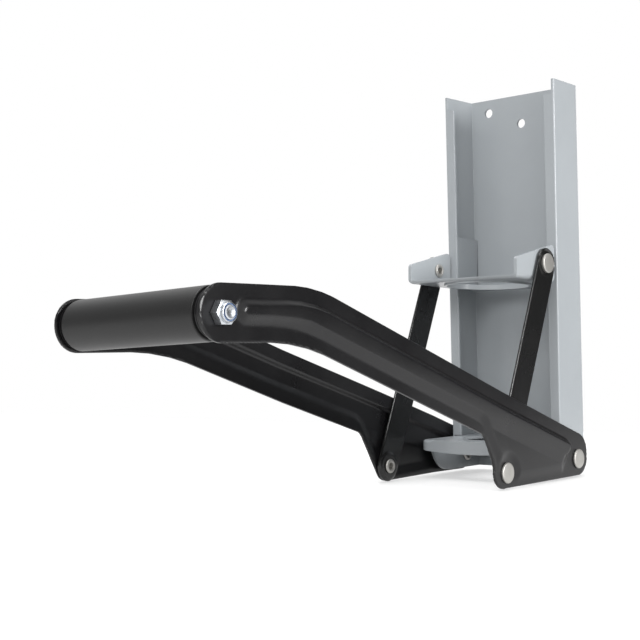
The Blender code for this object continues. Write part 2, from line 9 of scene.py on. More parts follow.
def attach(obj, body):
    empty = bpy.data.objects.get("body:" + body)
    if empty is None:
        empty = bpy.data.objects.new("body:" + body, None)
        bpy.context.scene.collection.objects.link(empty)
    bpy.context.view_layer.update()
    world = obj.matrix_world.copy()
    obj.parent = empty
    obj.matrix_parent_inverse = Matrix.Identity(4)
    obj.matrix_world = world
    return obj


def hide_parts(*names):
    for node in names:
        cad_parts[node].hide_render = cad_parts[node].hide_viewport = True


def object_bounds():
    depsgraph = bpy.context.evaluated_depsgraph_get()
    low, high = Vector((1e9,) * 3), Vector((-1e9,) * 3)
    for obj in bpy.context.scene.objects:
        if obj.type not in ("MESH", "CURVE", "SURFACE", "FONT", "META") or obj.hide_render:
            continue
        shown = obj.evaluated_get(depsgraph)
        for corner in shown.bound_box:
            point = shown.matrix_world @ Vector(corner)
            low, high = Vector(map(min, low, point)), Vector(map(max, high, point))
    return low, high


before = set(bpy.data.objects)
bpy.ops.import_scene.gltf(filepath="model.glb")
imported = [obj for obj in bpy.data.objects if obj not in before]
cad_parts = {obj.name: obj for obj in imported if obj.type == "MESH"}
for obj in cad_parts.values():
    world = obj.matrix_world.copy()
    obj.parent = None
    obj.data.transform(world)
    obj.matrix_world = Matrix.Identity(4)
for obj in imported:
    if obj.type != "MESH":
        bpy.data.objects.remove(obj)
cad_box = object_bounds()

# Back channel. The real one is a strip of 2 mm steel folded into a shallow trough, with a lip along each
# front edge and a foot at the bottom of each side. It is painted a light blue grey and screws to the wall.
HALF = 0.050
CHANNEL_DEPTH = 0.0369
CHANNEL_TOP = 0.296
CHANNEL_BOTTOM = -0.011
CHANNEL_SHEET = 0.0020
CHANNEL_BEND = 0.0010
LIP_WIDTH = 0.0080
LIP_TOP = 0.2844
FOOT_REACH = 0.0683
FOOT_TOE = 0.021
BASE_TOP = 0.0158
BASE_SHEET = 0.0025
PIVOT_Y = -0.0205
SCREW_HOLES = ((-0.0313, 0.2850), (0.0, 0.2724), (0.0313, 0.2850))
SCREW_HOLE_RADIUS = 0.00375
RIVET_HOLE_RADIUS = 0.0043
CHANNEL_EDGE = 0.0003
FOLD_INSIDE = 0.0004
LEFT_SPREAD = 0.0014
LEFT_SPREAD_RISE = 0.040
LEFT_SPREAD_FROM = 0.022
RIGHT_SPREAD_BACK = 0.0005
RIGHT_SPREAD_FRONT = 0.0010
RIGHT_SPREAD_FROM = 0.160
PROUD = 0.004
HAIR = 0.00001
MERGE = 0.000002
SHARP_ANGLE = math.radians(38)
AXES = {"X": Vector((1, 0, 0)), "Y": Vector((0, 1, 0)), "Z": Vector((0, 0, 1))}


def sheet_face(corners, across):
    """A flat face through corners of (a, b, radius), square to an axis, with each corner rounded."""
    places = {
        "X": lambda a, b: Vector((0, a, b)),
        "Y": lambda a, b: Vector((a, 0, b)),
        "Z": lambda a, b: Vector((a, b, 0)),
    }
    spots = [places[across](a, b) for a, b, _ in corners]
    bm = bmesh.new()
    verts = [bm.verts.new(spot) for spot in spots]
    bm.faces.new(verts)
    for i, (_, _, radius) in enumerate(corners):
        if not radius:
            continue
        back = (spots[i - 1] - spots[i]).normalized()
        ahead = (spots[(i + 1) % len(spots)] - spots[i]).normalized()
        turn = math.pi - back.angle(ahead)
        bmesh.ops.bevel(
            bm,
            geom=[verts[i]],
            offset=radius * math.tan(turn / 2),
            offset_type="OFFSET",
            segments=max(3, round(turn / math.radians(7))),
            profile=0.5,
            affect="VERTICES",
            material=-1,
        )
    return bm


def thick(bm, across, low, high):
    """Gives a flat face its thickness between two planes."""
    axis = AXES[across]
    bmesh.ops.translate(bm, verts=bm.verts, vec=axis * low)
    made = bmesh.ops.extrude_face_region(bm, geom=bm.faces[:])["geom"]
    moved = [part for part in made if isinstance(part, bmesh.types.BMVert)]
    bmesh.ops.translate(bm, verts=moved, vec=axis * (high - low))
    bmesh.ops.recalc_face_normals(bm, faces=bm.faces)
    return bm


def block(low, high):
    """A plain cutter between two corners."""
    bm = bmesh.new()
    bmesh.ops.create_cube(bm, size=1)
    low, high = Vector(low), Vector(high)
    bmesh.ops.scale(bm, verts=bm.verts, vec=high - low)
    bmesh.ops.translate(bm, verts=bm.verts, vec=(low + high) / 2)
    return bm


def rod(across, centre, radius, low, high, steps=48):
    """A round bar along an axis, between two planes."""
    bm = bmesh.new()
    bmesh.ops.create_cone(
        bm, cap_ends=True, segments=steps, radius1=radius, radius2=radius, depth=high - low
    )
    turn = AXES["Z"].rotation_difference(AXES[across]).to_matrix()
    bmesh.ops.rotate(bm, verts=bm.verts, cent=(0, 0, 0), matrix=turn)
    middle = Vector(centre)
    middle["XYZ".index(across)] = (low + high) / 2
    bmesh.ops.translate(bm, verts=bm.verts, vec=middle)
    return bm


def as_object(name, bm):
    mesh = bpy.data.meshes.new(name)
    bm.to_mesh(mesh)
    bm.free()
    made = bpy.data.objects.new(name, mesh)
    bpy.context.scene.collection.objects.link(made)
    return made


def settle(piece):
    """Turns a piece's modifiers into its mesh."""
    bpy.context.view_layer.update()
    evaluated = piece.evaluated_get(bpy.context.evaluated_depsgraph_get())
    old, piece_mesh = piece.data, bpy.data.meshes.new_from_object(evaluated)
    piece.modifiers.clear()
    piece.data = piece_mesh
    bpy.data.meshes.remove(old)


def shape(piece, operation, *tools):
    """Joins, cuts or trims a piece with each tool in turn."""
    for bm in tools:
        tool = as_object("tool", bm)
        step = piece.modifiers.new("shape", "BOOLEAN")
        step.operation = operation
        step.solver = "EXACT"
        step.object = tool
        settle(piece)
        bpy.data.objects.remove(tool, do_unlink=True)


def soften(piece, width):
    """Rounds a piece's sharp edges a little."""
    edges = piece.modifiers.new("edges", "BEVEL")
    edges.width = width
    edges.segments = 2
    edges.limit_method = "ANGLE"
    edges.angle_limit = math.radians(35)
    settle(piece)


def install(piece, paint, body, slot, *stands_for):
    """Closes and paints a finished piece, fixes it to its body and hides the solids that it stands for."""
    bm = bmesh.new()
    bm.from_mesh(piece.data)
    bmesh.ops.remove_doubles(bm, verts=bm.verts, dist=MERGE)
    bmesh.ops.dissolve_degenerate(bm, edges=bm.edges, dist=MERGE)
    bmesh.ops.holes_fill(bm, edges=[edge for edge in bm.edges if edge.is_boundary])
    bmesh.ops.recalc_face_normals(bm, faces=bm.faces)
    bm.to_mesh(piece.data)
    bm.free()
    piece.data.materials.clear()
    piece.data.materials.append(paint)
    piece.data.shade_smooth()
    piece.data.set_sharp_from_angle(angle=SHARP_ANGLE)
    even = piece.modifiers.new("even", "WEIGHTED_NORMAL")
    even.keep_sharp = True
    settle(piece)
    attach(piece, body)
    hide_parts(*stands_for)


def new_group(name, inputs, outputs):
    """An empty shader group with named number sockets, and its two ends."""
    group = bpy.data.node_groups.new(name, "ShaderNodeTree")
    for label, default in inputs:
        socket = group.interface.new_socket(label, in_out="INPUT", socket_type="NodeSocketFloat")
        socket.default_value = default
    for label in outputs:
        group.interface.new_socket(label, in_out="OUTPUT", socket_type="NodeSocketFloat")
    return group, group.nodes.new("NodeGroupInput"), group.nodes.new("NodeGroupOutput")


def node(tree, kind, settings=(), **sockets):
    """Adds a node with its settings, and sets or joins each socket, given by name or as _number."""
    made = tree.nodes.new(kind)
    for key, value in dict(settings).items():
        setattr(made, key, value)
    for key, value in sockets.items():
        spot = made.inputs[int(key[1:])] if key[0] == "_" else made.inputs[key.replace("_", " ")]
        if isinstance(value, bpy.types.NodeSocket):
            tree.links.new(value, spot)
        else:
            spot.default_value = value
    return made


def blend_colours(tree, share, first, second):
    """A colour between two, by a share."""
    return node(tree, "ShaderNodeMix", {"data_type": "RGBA"}, _0=share, _6=first, _7=second)


def sheen_between(tree, pattern, low, high):
    """A roughness that follows a pattern."""
    return node(
        tree, "ShaderNodeMapRange", Value=pattern, From_Min=0.3, From_Max=0.7, To_Min=low, To_Max=high
    )


# Fine texture of a sprayed coat: orange peel, broad clouds of uneven film and a few specks of dust.
coat_group, coat_in, coat_out = new_group(
    "coat_texture",
    (("Peel scale", 900.0), ("Cloud scale", 26.0), ("Speck scale", 1500.0)),
    ("Peel", "Cloud", "Speck"),
)
coat_place = node(coat_group, "ShaderNodeTexCoord").outputs["Object"]
peel = node(
    coat_group, "ShaderNodeTexNoise", Vector=coat_place, Scale=coat_in.outputs[0], Detail=2.0, Roughness=0.5
)
cloud = node(
    coat_group, "ShaderNodeTexNoise", Vector=coat_place, Scale=coat_in.outputs[1], Detail=4.0, Roughness=0.55
)
speck = node(
    coat_group, "ShaderNodeTexNoise", Vector=coat_place, Scale=coat_in.outputs[2], Detail=1.0, Roughness=0.4
)
speck_cut = node(
    coat_group,
    "ShaderNodeMapRange",
    Value=speck.outputs["Fac"],
    From_Min=0.70,
    From_Max=0.78,
    To_Min=0.0,
    To_Max=1.0,
)
coat_group.links.new(peel.outputs["Fac"], coat_out.inputs["Peel"])
coat_group.links.new(cloud.outputs["Fac"], coat_out.inputs["Cloud"])
coat_group.links.new(speck_cut.outputs["Result"], coat_out.inputs["Speck"])


def sprayed(name, dark, light, dust, rough_low, rough_high, peel_depth, peel_scale, gloss=0.5):
    """A coat of paint or powder: its two nearly equal shades, its dust, its sheen and its orange peel."""
    made = bpy.data.materials.new(name)
    made.use_nodes = True
    tree = made.node_tree
    shader = tree.nodes["Principled BSDF"]
    texture = tree.nodes.new("ShaderNodeGroup")
    texture.node_tree = coat_group
    texture.inputs["Peel scale"].default_value = peel_scale
    shade = blend_colours(tree, texture.outputs["Cloud"], (*dark, 1), (*light, 1))
    dusty = blend_colours(tree, texture.outputs["Speck"], shade.outputs[2], (*dust, 1))
    sheen = sheen_between(tree, texture.outputs["Cloud"], rough_low, rough_high)
    relief = node(tree, "ShaderNodeBump", Height=texture.outputs["Peel"], Strength=1.0, Distance=peel_depth)
    tree.links.new(dusty.outputs[2], shader.inputs["Base Color"])
    tree.links.new(sheen.outputs["Result"], shader.inputs["Roughness"])
    tree.links.new(relief.outputs["Normal"], shader.inputs["Normal"])
    shader.inputs["Specular IOR Level"].default_value = gloss
    return made


grey_paint = sprayed(
    "grey_paint",
    (0.335, 0.357, 0.374),
    (0.370, 0.393, 0.411),
    (0.42, 0.44, 0.46),
    0.20,
    0.27,
    0.000012,
    700.0,
)


def clamp(value):
    """Holds a value between 0 and 1."""
    return min(1, max(0, value))


def channel_section():
    """The folded strip seen from above."""
    front = -CHANNEL_DEPTH
    inner = HALF - CHANNEL_SHEET
    lip_end = HALF - LIP_WIDTH
    right = [
        (HALF, 0, CHANNEL_BEND),
        (HALF, front, CHANNEL_BEND),
        (lip_end, front, CHANNEL_SHEET * 0.2),
        (lip_end, front + CHANNEL_SHEET, CHANNEL_SHEET * 0.2),
        (inner, front + CHANNEL_SHEET, FOLD_INSIDE),
        (inner, -CHANNEL_SHEET, FOLD_INSIDE),
    ]
    return right + [(-x, y, radius) for x, y, radius in reversed(right)]


channel = as_object(
    "channel_folded", thick(sheet_face(channel_section(), "Z"), "Z", CHANNEL_BOTTOM, CHANNEL_TOP)
)
foot_corners = [
    (-CHANNEL_DEPTH * 0.6, CHANNEL_BOTTOM, 0),
    (-CHANNEL_DEPTH * 0.6, BASE_TOP - BASE_SHEET, 0),
    (-FOOT_REACH, BASE_TOP - BASE_SHEET, 0.001),
    (-FOOT_REACH, CHANNEL_BOTTOM, FOOT_TOE),
]
lip_back = -CHANNEL_DEPTH + CHANNEL_SHEET + 0.0006
lip_low, lip_high = CHANNEL_BOTTOM - PROUD, BASE_TOP + 0.0005
for side in (-1, 1):
    inner, outer = sorted((side * HALF, side * (HALF - CHANNEL_SHEET)))
    shape(channel, "UNION", thick(sheet_face(foot_corners, "X"), "X", inner, outer))
    lip_in, lip_out = sorted((side * (HALF - LIP_WIDTH - PROUD), side * (HALF - CHANNEL_SHEET)))
    shape(
        channel,
        "DIFFERENCE",
        block((lip_in, -CHANNEL_DEPTH - PROUD, LIP_TOP), (lip_out, lip_back, CHANNEL_TOP + PROUD)),
        block((lip_in, -CHANNEL_DEPTH - PROUD, lip_low), (lip_out, lip_back, lip_high)),
        rod("X", (0, PIVOT_Y, 0), RIVET_HOLE_RADIUS, inner - PROUD, outer + PROUD),
    )
for x, z in SCREW_HOLES:
    shape(channel, "DIFFERENCE", rod("Y", (x, 0, z), SCREW_HOLE_RADIUS, -CHANNEL_SHEET - PROUD, PROUD))
soften(channel, CHANNEL_EDGE)
for vert in channel.data.vertices:
    depth = -vert.co.y / CHANNEL_DEPTH
    if vert.co.x < 0:
        spread = -LEFT_SPREAD * depth * clamp(vert.co.z / LEFT_SPREAD_RISE)
        spread *= clamp((-vert.co.x - LEFT_SPREAD_FROM) / (HALF - LEFT_SPREAD_FROM))
    else:
        spread = clamp((vert.co.z - RIGHT_SPREAD_FROM) / (CHANNEL_TOP - RIGHT_SPREAD_FROM))
        spread *= RIGHT_SPREAD_BACK + RIGHT_SPREAD_FRONT * depth
        spread *= clamp((vert.co.x - HALF + LIP_WIDTH) / LIP_WIDTH)
    vert.co.x += spread
install(channel, grey_paint, "channel", "grey_paint", "back_channel")

# Base plate. A shallow pressed pan turned upside down between the feet, welded to them, on which the can
# stands. Its skirt is a little deeper in the middle, and a large hole lets the last drops out.
BASE_FRONT = 0.0885
BASE_SKIRT = 0.0103
BASE_CORNER = 0.010
BASE_HOLE_RADIUS = 0.0285
BASE_HOLE_Y = -0.0445
BASE_SKIRT_LIFT = 0.0026
PAN_GAP = 0.0003
PAN_SHEET = 0.0020
PAN_FOLD = 0.0022
PIVOT_ROOM = 0.0062
base_side = HALF - CHANNEL_SHEET - PAN_GAP
base_back = -CHANNEL_SHEET - PAN_GAP
pan = sheet_face(
    [
        (-base_side, base_back, 0),
        (-base_side, -BASE_FRONT, BASE_CORNER),
        (base_side, -BASE_FRONT, BASE_CORNER),
        (base_side, base_back, 0),
    ],
    "Z",
)
bmesh.ops.translate(pan, verts=pan.verts, vec=(0, 0, BASE_TOP))
front_edge = max(
    (edge for edge in pan.edges if all(v.co.y < -BASE_FRONT + HAIR for v in edge.verts)),
    key=lambda edge: edge.calc_length(),
)
bmesh.ops.subdivide_edges(pan, edges=[front_edge], cuts=14)
rim = [edge for edge in pan.edges if min(v.co.y for v in edge.verts) < base_back - HAIR]
drawn = bmesh.ops.extrude_edge_only(pan, edges=rim)["geom"]
skirt_verts = [part for part in drawn if isinstance(part, bmesh.types.BMVert)]
for vert in skirt_verts:
    share = min(1.0, abs(vert.co.x) / base_side) ** 2 if vert.co.y < -BASE_FRONT * 0.85 else 1.0
    vert.co.z -= BASE_SKIRT - BASE_SKIRT_LIFT * share
folds = [
    edge
    for edge in pan.edges
    if len(edge.link_faces) == 2 and all(abs(v.co.z - BASE_TOP) < HAIR for v in edge.verts)
]
bmesh.ops.bevel(
    pan,
    geom=folds,
    offset=PAN_FOLD,
    offset_type="OFFSET",
    segments=5,
    profile=0.5,
    affect="EDGES",
    material=-1,
)
bmesh.ops.recalc_face_normals(pan, faces=pan.faces)
if max(pan.faces, key=lambda face: face.calc_area()).normal.z < 0:
    bmesh.ops.reverse_faces(pan, faces=pan.faces)
bmesh.ops.solidify(pan, geom=pan.faces[:], thickness=PAN_SHEET)
base = as_object("base_pan", pan)
shape(
    base,
    "DIFFERENCE",
    rod("Z", (0, BASE_HOLE_Y, 0), BASE_HOLE_RADIUS, 0.0, BASE_TOP + PROUD, 72),
    rod("X", (0, PIVOT_Y, 0), PIVOT_ROOM, -HALF, HALF),
)
soften(base, 0.00035)
install(base, grey_paint, "channel", "grey_paint", "base_plate")

# Ram. A folded steel plate, painted as the channel is, with an upturned ear outside each lip and a wing
# that slides inside each side. A round hole is drawn down into a short collar that holds the can's neck.
# The links carry it by a rivet through each ear.
RAM_PIN = Vector((0, -0.0561, 0.1508765))
RAM_UNDER = RAM_PIN.z - 0.0135
RAM_SHEET = 0.0025
RAM_BEND = 0.0040
RAM_FRONT = 0.0938
EAR_FRONT_HEIGHT = 0.0155
EAR_BACK_HEIGHT = 0.0300
RAM_TILT = math.radians(-2.4)
EAR_CORNER = 0.0045
EAR_TOE = 0.0035
EAR_BACK = -0.0398
WING_HEIGHT = 0.0434
WING_HALF = 0.0475
WING_FRONT = -0.0334
WING_BACK = -0.0040
NECK_BACK = -0.0304
RING_RADIUS = 0.0322
RING_Y = -0.0565
COLLAR_DEPTH = 0.0014
COLLAR_WALL = 0.0018


def trough(half, low, high, sheet, bend):
    """A folded trough seen end on."""
    inside = half - sheet
    right = [(half, low, bend), (half, high, 0), (inside, high, 0), (inside, low + sheet, bend - sheet)]
    return right + [(-a, b, radius) for a, b, radius in reversed(right)]


ram_over = RAM_UNDER + WING_HEIGHT + PROUD
ear_trough = trough(HALF, RAM_UNDER, ram_over, RAM_SHEET, RAM_BEND)
ram = as_object("ram_ring_plate", thick(sheet_face(ear_trough, "Y"), "Y", -RAM_FRONT, EAR_BACK))
ear_corners = [
    (-RAM_FRONT, RAM_UNDER, EAR_TOE),
    (EAR_BACK, RAM_UNDER, 0),
    (EAR_BACK, RAM_UNDER + EAR_BACK_HEIGHT, EAR_CORNER),
    (-RAM_FRONT, RAM_UNDER + EAR_FRONT_HEIGHT, EAR_CORNER * 0.6),
]
shape(ram, "INTERSECT", thick(sheet_face(ear_corners, "X"), "X", -HALF - PROUD, HALF + PROUD))
wing_trough = trough(WING_HALF, RAM_UNDER, RAM_UNDER + WING_HEIGHT, RAM_SHEET, RAM_BEND)
neck_half = HALF - LIP_WIDTH - 0.0005
shape(
    ram,
    "UNION",
    thick(sheet_face(wing_trough, "Y"), "Y", WING_FRONT, WING_BACK),
    block((-neck_half, EAR_BACK - PROUD, RAM_UNDER), (neck_half, NECK_BACK, RAM_UNDER + RAM_SHEET)),
    rod("Z", (0, RING_Y, 0), RING_RADIUS + COLLAR_WALL, RAM_UNDER - COLLAR_DEPTH, RAM_UNDER + 0.001, 96),
)
shape(
    ram,
    "DIFFERENCE",
    rod("Z", (0, RING_Y, 0), RING_RADIUS, RAM_UNDER - PROUD - COLLAR_DEPTH, RAM_UNDER + PROUD, 96),
    rod("X", RAM_PIN, RIVET_HOLE_RADIUS, -HALF - PROUD, -HALF + PROUD + RAM_SHEET),
    rod("X", RAM_PIN, RIVET_HOLE_RADIUS, HALF - PROUD - RAM_SHEET, HALF + PROUD),
)
soften(ram, 0.0006)
to_pin = Matrix.Translation(RAM_PIN)
ram.data.transform(to_pin @ Matrix.Rotation(RAM_TILT, 4, "X") @ to_pin.inverted())
install(ram, grey_paint, "ram", "grey_paint", "ram_plate")

# Lever arms. Each is a 2 mm steel sheet cut to shape, with its middle pressed outwards to stiffen it, and
# finished in black powder coat. They spread a little from the links to the handle.
CRANK_PIN = Vector((0, -0.1226694, -0.0025))
HANDLE = Vector((0, -0.4120, 0.1080))
ARM_IN = 0.0536
ARM_SHEET = 0.0020
ARM_OUT = ARM_IN + ARM_SHEET
ARM_RISE = 0.0035
ARM_WIDTH = 0.0357
ARM_UPPER = 0.0194
ARM_LOWER = 0.0128
ARM_TILT = math.radians(18.43)
ARM_END_WIDTH = 0.0327
ARM_END_REACH = (0.0163, 0.0148)
ARM_BEND = 0.110
ARM_END_RADIUS = 0.0150
ARM_SPLAY = 0.0063
ARM_FLAT_Y = HANDLE.y + 0.0250
ARM_EDGE = 0.0005
THROAT_Y = PIVOT_Y - 0.1312
HEEL_BACK = CRANK_PIN.y - 0.0162
HEEL_TOP = CRANK_PIN.z + 0.0080
WEB_RIM = 0.0095
WEB_LOW_RIM = 0.0067
WEB_TOP = 0.1170
WEB_BOTTOM = 0.0994
SHEET_RIM = 0.00005
FRONT_ROUNDING = 0.0004
BACK_ROUNDING = 0.0008
LEFT_SAG = 0.0036
LEFT_SAG_FROM = -0.060
LEFT_SAG_TO = -0.235


def arm_line(offset, y):
    """The height at y of a line along the arm's straight middle, this far above the pivot."""
    return offset / math.cos(ARM_TILT) - (y - PIVOT_Y) * math.tan(ARM_TILT)


def bend_y(offset, height):
    """Where such a line reaches a height."""
    return PIVOT_Y - (height - offset / math.cos(ARM_TILT)) / math.tan(ARM_TILT)


def arm_corners(side):
    """An arm's outline, as a sheet_face takes it. The left arm's heel is slanted."""
    upper = HANDLE.z + ARM_END_WIDTH / 2
    lower = HANDLE.z - ARM_END_WIDTH / 2
    under = ARM_UPPER - ARM_WIDTH
    back = PIVOT_Y + ARM_END_RADIUS - 0.0003
    front = HANDLE.y - ARM_END_REACH[side > 0]
    end = ARM_END_WIDTH / 2 - HAIR
    heel = [(HEEL_BACK, HEEL_TOP, 0.0150), (HEEL_BACK, CRANK_PIN.z - 0.0110, 0.0120)]
    if side < 0:
        heel = [(-0.1290, -0.0127, 0.0110)]
    return [
        (front, lower, end),
        (bend_y(under, lower), lower, ARM_BEND + ARM_WIDTH),
        (THROAT_Y, arm_line(under, THROAT_Y), 0.0090),
        *heel,
        (back, -ARM_LOWER, 0.0135),
        (back, arm_line(ARM_UPPER, back), ARM_END_RADIUS),
        (bend_y(ARM_UPPER, upper), upper, ARM_BEND),
        (front, upper, end),
    ]


def web_corners(side):
    """The outline of the pressed middle, from beside the handle's bolt to beside the pivot."""
    under = ARM_UPPER - ARM_WIDTH + WEB_LOW_RIM
    throat = THROAT_Y - 0.004
    heel_y = CRANK_PIN.y - 0.0132
    front = HANDLE.y + 0.0110
    heel = [(heel_y, HEEL_TOP, 0.0150), (heel_y, -0.0118, 0.0090)]
    if side < 0:
        heel = [(-0.1260, -0.0110, 0.0080)]
    return [
        (front, WEB_BOTTOM, 0.0087),
        (bend_y(under, WEB_BOTTOM), WEB_BOTTOM, ARM_BEND + ARM_WIDTH - WEB_LOW_RIM),
        (throat, arm_line(under, throat), 0.0120),
        *heel,
        (-0.0440, -0.0098, 0.0040),
        (-0.0305, arm_line(ARM_UPPER - WEB_RIM, -0.0305), 0.0070),
        (bend_y(ARM_UPPER - WEB_RIM, WEB_TOP), WEB_TOP, ARM_BEND),
        (front, WEB_TOP, 0.0087),
    ]


def side_view(verts):
    """Where vertices lie, seen from the side."""
    return np.array([(v.co.y, v.co.z) for v in verts])


def depth_inside(points, corners):
    """How far each (y, z) point lies inside an outline, negative outside it."""
    face_mesh = sheet_face(corners, "X")
    ring = side_view(face_mesh.faces[:][0].verts)
    face_mesh.free()
    ends = np.roll(ring, -1, axis=0)
    nearest = np.full(len(points), np.inf)
    inside = np.zeros(len(points), bool)
    for a, b in zip(ring, ends):
        run = b - a
        share = np.clip(((points - a) @ run) / max(run @ run, 1e-12), 0, 1)
        nearest = np.minimum(nearest, np.linalg.norm(points - a - share[:, None] * run, axis=1))
        crossing = (a[1] > points[:, 1]) != (b[1] > points[:, 1])
        if a[1] != b[1]:
            at = a[0] + (points[:, 1] - a[1]) / (b[1] - a[1]) * run[0]
            inside ^= crossing & (points[:, 0] < at)
    return np.where(inside, nearest, -nearest)


def ease(value):
    """A smooth step from 0 to 1."""
    value = np.clip(value, 0, 1)
    return value * value * (3 - 2 * value)


def pressed_sheet(corners, along, step_along, step_across, edge):
    """A flat sheet cut into a fine grid in line with a direction, with a narrow band along its edge."""
    bm = sheet_face(corners, "X")
    bmesh.ops.inset_region(bm, faces=bm.faces[:], thickness=edge, use_even_offset=True)
    across = Vector((0, -along.z, along.y))
    for way, step in ((along, step_along), (across, step_across)):
        reach = [v.co.dot(way) for v in bm.verts]
        for k in range(math.ceil(min(reach) / step), math.floor(max(reach) / step) + 1):
            everything = bm.verts[:] + bm.edges[:] + bm.faces[:]
            bmesh.ops.bisect_plane(bm, geom=everything, dist=1e-6, plane_co=way * k * step, plane_no=way)
    return bm


def pull_back(bm, corners, sheet):
    """Gives a pressed sheet its back, with the back's rim rounded off."""
    made = bmesh.ops.extrude_face_region(bm, geom=bm.faces[:])["geom"]
    back = [part for part in made if isinstance(part, bmesh.types.BMVert)]
    bmesh.ops.translate(bm, verts=back, vec=(-sheet, 0, 0))
    for vert, depth in zip(back, depth_inside(side_view(back), corners)):
        vert.co.x += BACK_ROUNDING * bool(depth < SHEET_RIM)


def arm_mesh(side):
    """An arm seen as the right hand one: its middle pressed out, and the whole leaning out to the handle."""
    straight = Vector((0, -math.cos(ARM_TILT), math.sin(ARM_TILT)))
    bm = pressed_sheet(arm_corners(side), straight, 0.0011, 0.0009, ARM_EDGE)
    points = side_view(bm.verts)
    middle = np.minimum(HANDLE.z, arm_line(ARM_UPPER - ARM_WIDTH / 2, points[:, 0]))
    slope = 0.0032 + 0.0052 * ease((middle - points[:, 1]) / 0.006)
    slope += 0.0030 * ease((-0.320 - points[:, 0]) / 0.060)
    rise = ARM_RISE * ease(depth_inside(points, web_corners(side)) / slope)
    web_top = np.minimum(WEB_TOP, arm_line(ARM_UPPER - WEB_RIM, points[:, 0]))
    web_low = np.minimum(WEB_BOTTOM, arm_line(ARM_UPPER - ARM_WIDTH + WEB_LOW_RIM, points[:, 0]))
    rise *= 1 - 0.5 * np.clip((web_top - points[:, 1]) / (web_top - web_low), 0, 1) ** 2
    from_crank = np.linalg.norm(points - np.array((CRANK_PIN.y, CRANK_PIN.z)), axis=1)
    rise *= ease((from_crank - 0.0085) / 0.0080)
    rise -= FRONT_ROUNDING * (depth_inside(points, arm_corners(side)) < SHEET_RIM)
    lean = np.clip((CRANK_PIN.y - points[:, 0]) / (CRANK_PIN.y - ARM_FLAT_Y), 0, 1)
    for vert, up, out in zip(bm.verts, rise, lean):
        vert.co.x = ARM_OUT + up + ARM_SPLAY * out
    pull_back(bm, arm_corners(side), ARM_SHEET)
    bmesh.ops.recalc_face_normals(bm, faces=bm.faces)
    return bm


black_coat = sprayed(
    "black_powder_coat",
    (0.0060, 0.0058, 0.0064),
    (0.0085, 0.0083, 0.0090),
    (0.03, 0.03, 0.03),
    0.27,
    0.34,
    0.00002,
    1100.0,
    0.38,
)
for word, side in (("left", -1), ("right", 1)):
    bm = arm_mesh(side)
    if side < 0:
        bmesh.ops.scale(bm, verts=bm.verts, vec=(-1, 1, 1))
        bmesh.ops.reverse_faces(bm, faces=bm.faces)
        for vert in bm.verts:
            vert.co.z -= LEFT_SAG * clamp((LEFT_SAG_FROM - vert.co.y) / (LEFT_SAG_FROM - LEFT_SAG_TO))
    arm = as_object(f"arm_pressed_{word}", bm)
    sag = LEFT_SAG if side < 0 else 0
    low, high = sorted((side * (ARM_IN - PROUD), side * (ARM_OUT + ARM_SPLAY + 2 * PROUD)))
    shape(
        arm,
        "DIFFERENCE",
        rod("X", (0, PIVOT_Y, 0), RIVET_HOLE_RADIUS, low, high, 32),
        rod("X", CRANK_PIN, RIVET_HOLE_RADIUS, low, high, 32),
        rod("X", HANDLE - Vector((0, 0, sag)), RIVET_HOLE_RADIUS, low, high, 32),
    )
    install(arm, black_coat, "lever", "black_coat", f"lever_arm_{word}")

# Links. Two black steel bars from the lever to the ram. Both ends are coined inwards round the rivets,
# so that each bar's middle stands about a millimetre proud.
LINK_IN = 0.0503
LINK_SHEET = 0.0020
LINK_JOG = 0.0010
LINK_WIDTH = 0.0233
link_lean = (RAM_PIN - CRANK_PIN).normalized()
link_across = Vector((0, link_lean.z, -link_lean.y)) * LINK_WIDTH / 2
link_tip = link_lean * LINK_WIDTH / 2
link_ends = (
    CRANK_PIN - link_tip - link_across,
    CRANK_PIN - link_tip + link_across,
    RAM_PIN + link_tip + link_across,
    RAM_PIN + link_tip - link_across,
)
link_corners = [(end.y, end.z, LINK_WIDTH / 2 - HAIR) for end in link_ends]
link_coat = sprayed(
    "black_link_coat",
    (0.0060, 0.0060, 0.0062),
    (0.0095, 0.0095, 0.0095),
    (0.04, 0.04, 0.04),
    0.22,
    0.30,
    0.00003,
    650.0,
)
for word, side in (("left", -1), ("right", 1)):
    bm = pressed_sheet(link_corners, link_lean, 0.0008, 0.0008, 0.0005)
    points = side_view(bm.verts)
    jog = np.ones(len(points))
    for pin in (CRANK_PIN, RAM_PIN):
        away = np.linalg.norm(points - np.array((pin.y, pin.z)), axis=1)
        jog *= ease((away - 0.0096) / 0.0017)
    rim_drop = FRONT_ROUNDING * (depth_inside(points, link_corners) < SHEET_RIM)
    for vert, up, down in zip(bm.verts, jog, rim_drop):
        vert.co.x = LINK_IN + LINK_SHEET + LINK_JOG * up - down
    pull_back(bm, link_corners, LINK_SHEET)
    if side < 0:
        bmesh.ops.scale(bm, verts=bm.verts, vec=(-1, 1, 1))
    bmesh.ops.recalc_face_normals(bm, faces=bm.faces)
    link = as_object(f"link_bar_{word}", bm)
    low, high = sorted((side * (LINK_IN - PROUD), side * (LINK_IN + 2 * PROUD)))
    shape(
        link,
        "DIFFERENCE",
        rod("X", CRANK_PIN, RIVET_HOLE_RADIUS, low, high, 32),
        rod("X", RAM_PIN, RIVET_HOLE_RADIUS, low, high, 32),
    )
    install(link, link_coat, "links", "black_coat", f"link_{word}")

# Rivets. Plain steel, dull nickel plated, with flat round heads outside and rolled hollow tails inside.
# A zinc plated collar keeps each lever arm off the channel at its pivot.
RIVET_HEAD = 0.00745
RIVET_SHANK = 0.0040
RIVET_TAIL = 0.0054
RIVET_BORE = 0.0027
COLLAR_IN = 0.0503
COLLAR_OUT = 0.0533
COLLAR_RADIUS = 0.00745
COLLAR_BORE = 0.0043
GAP = 0.0003


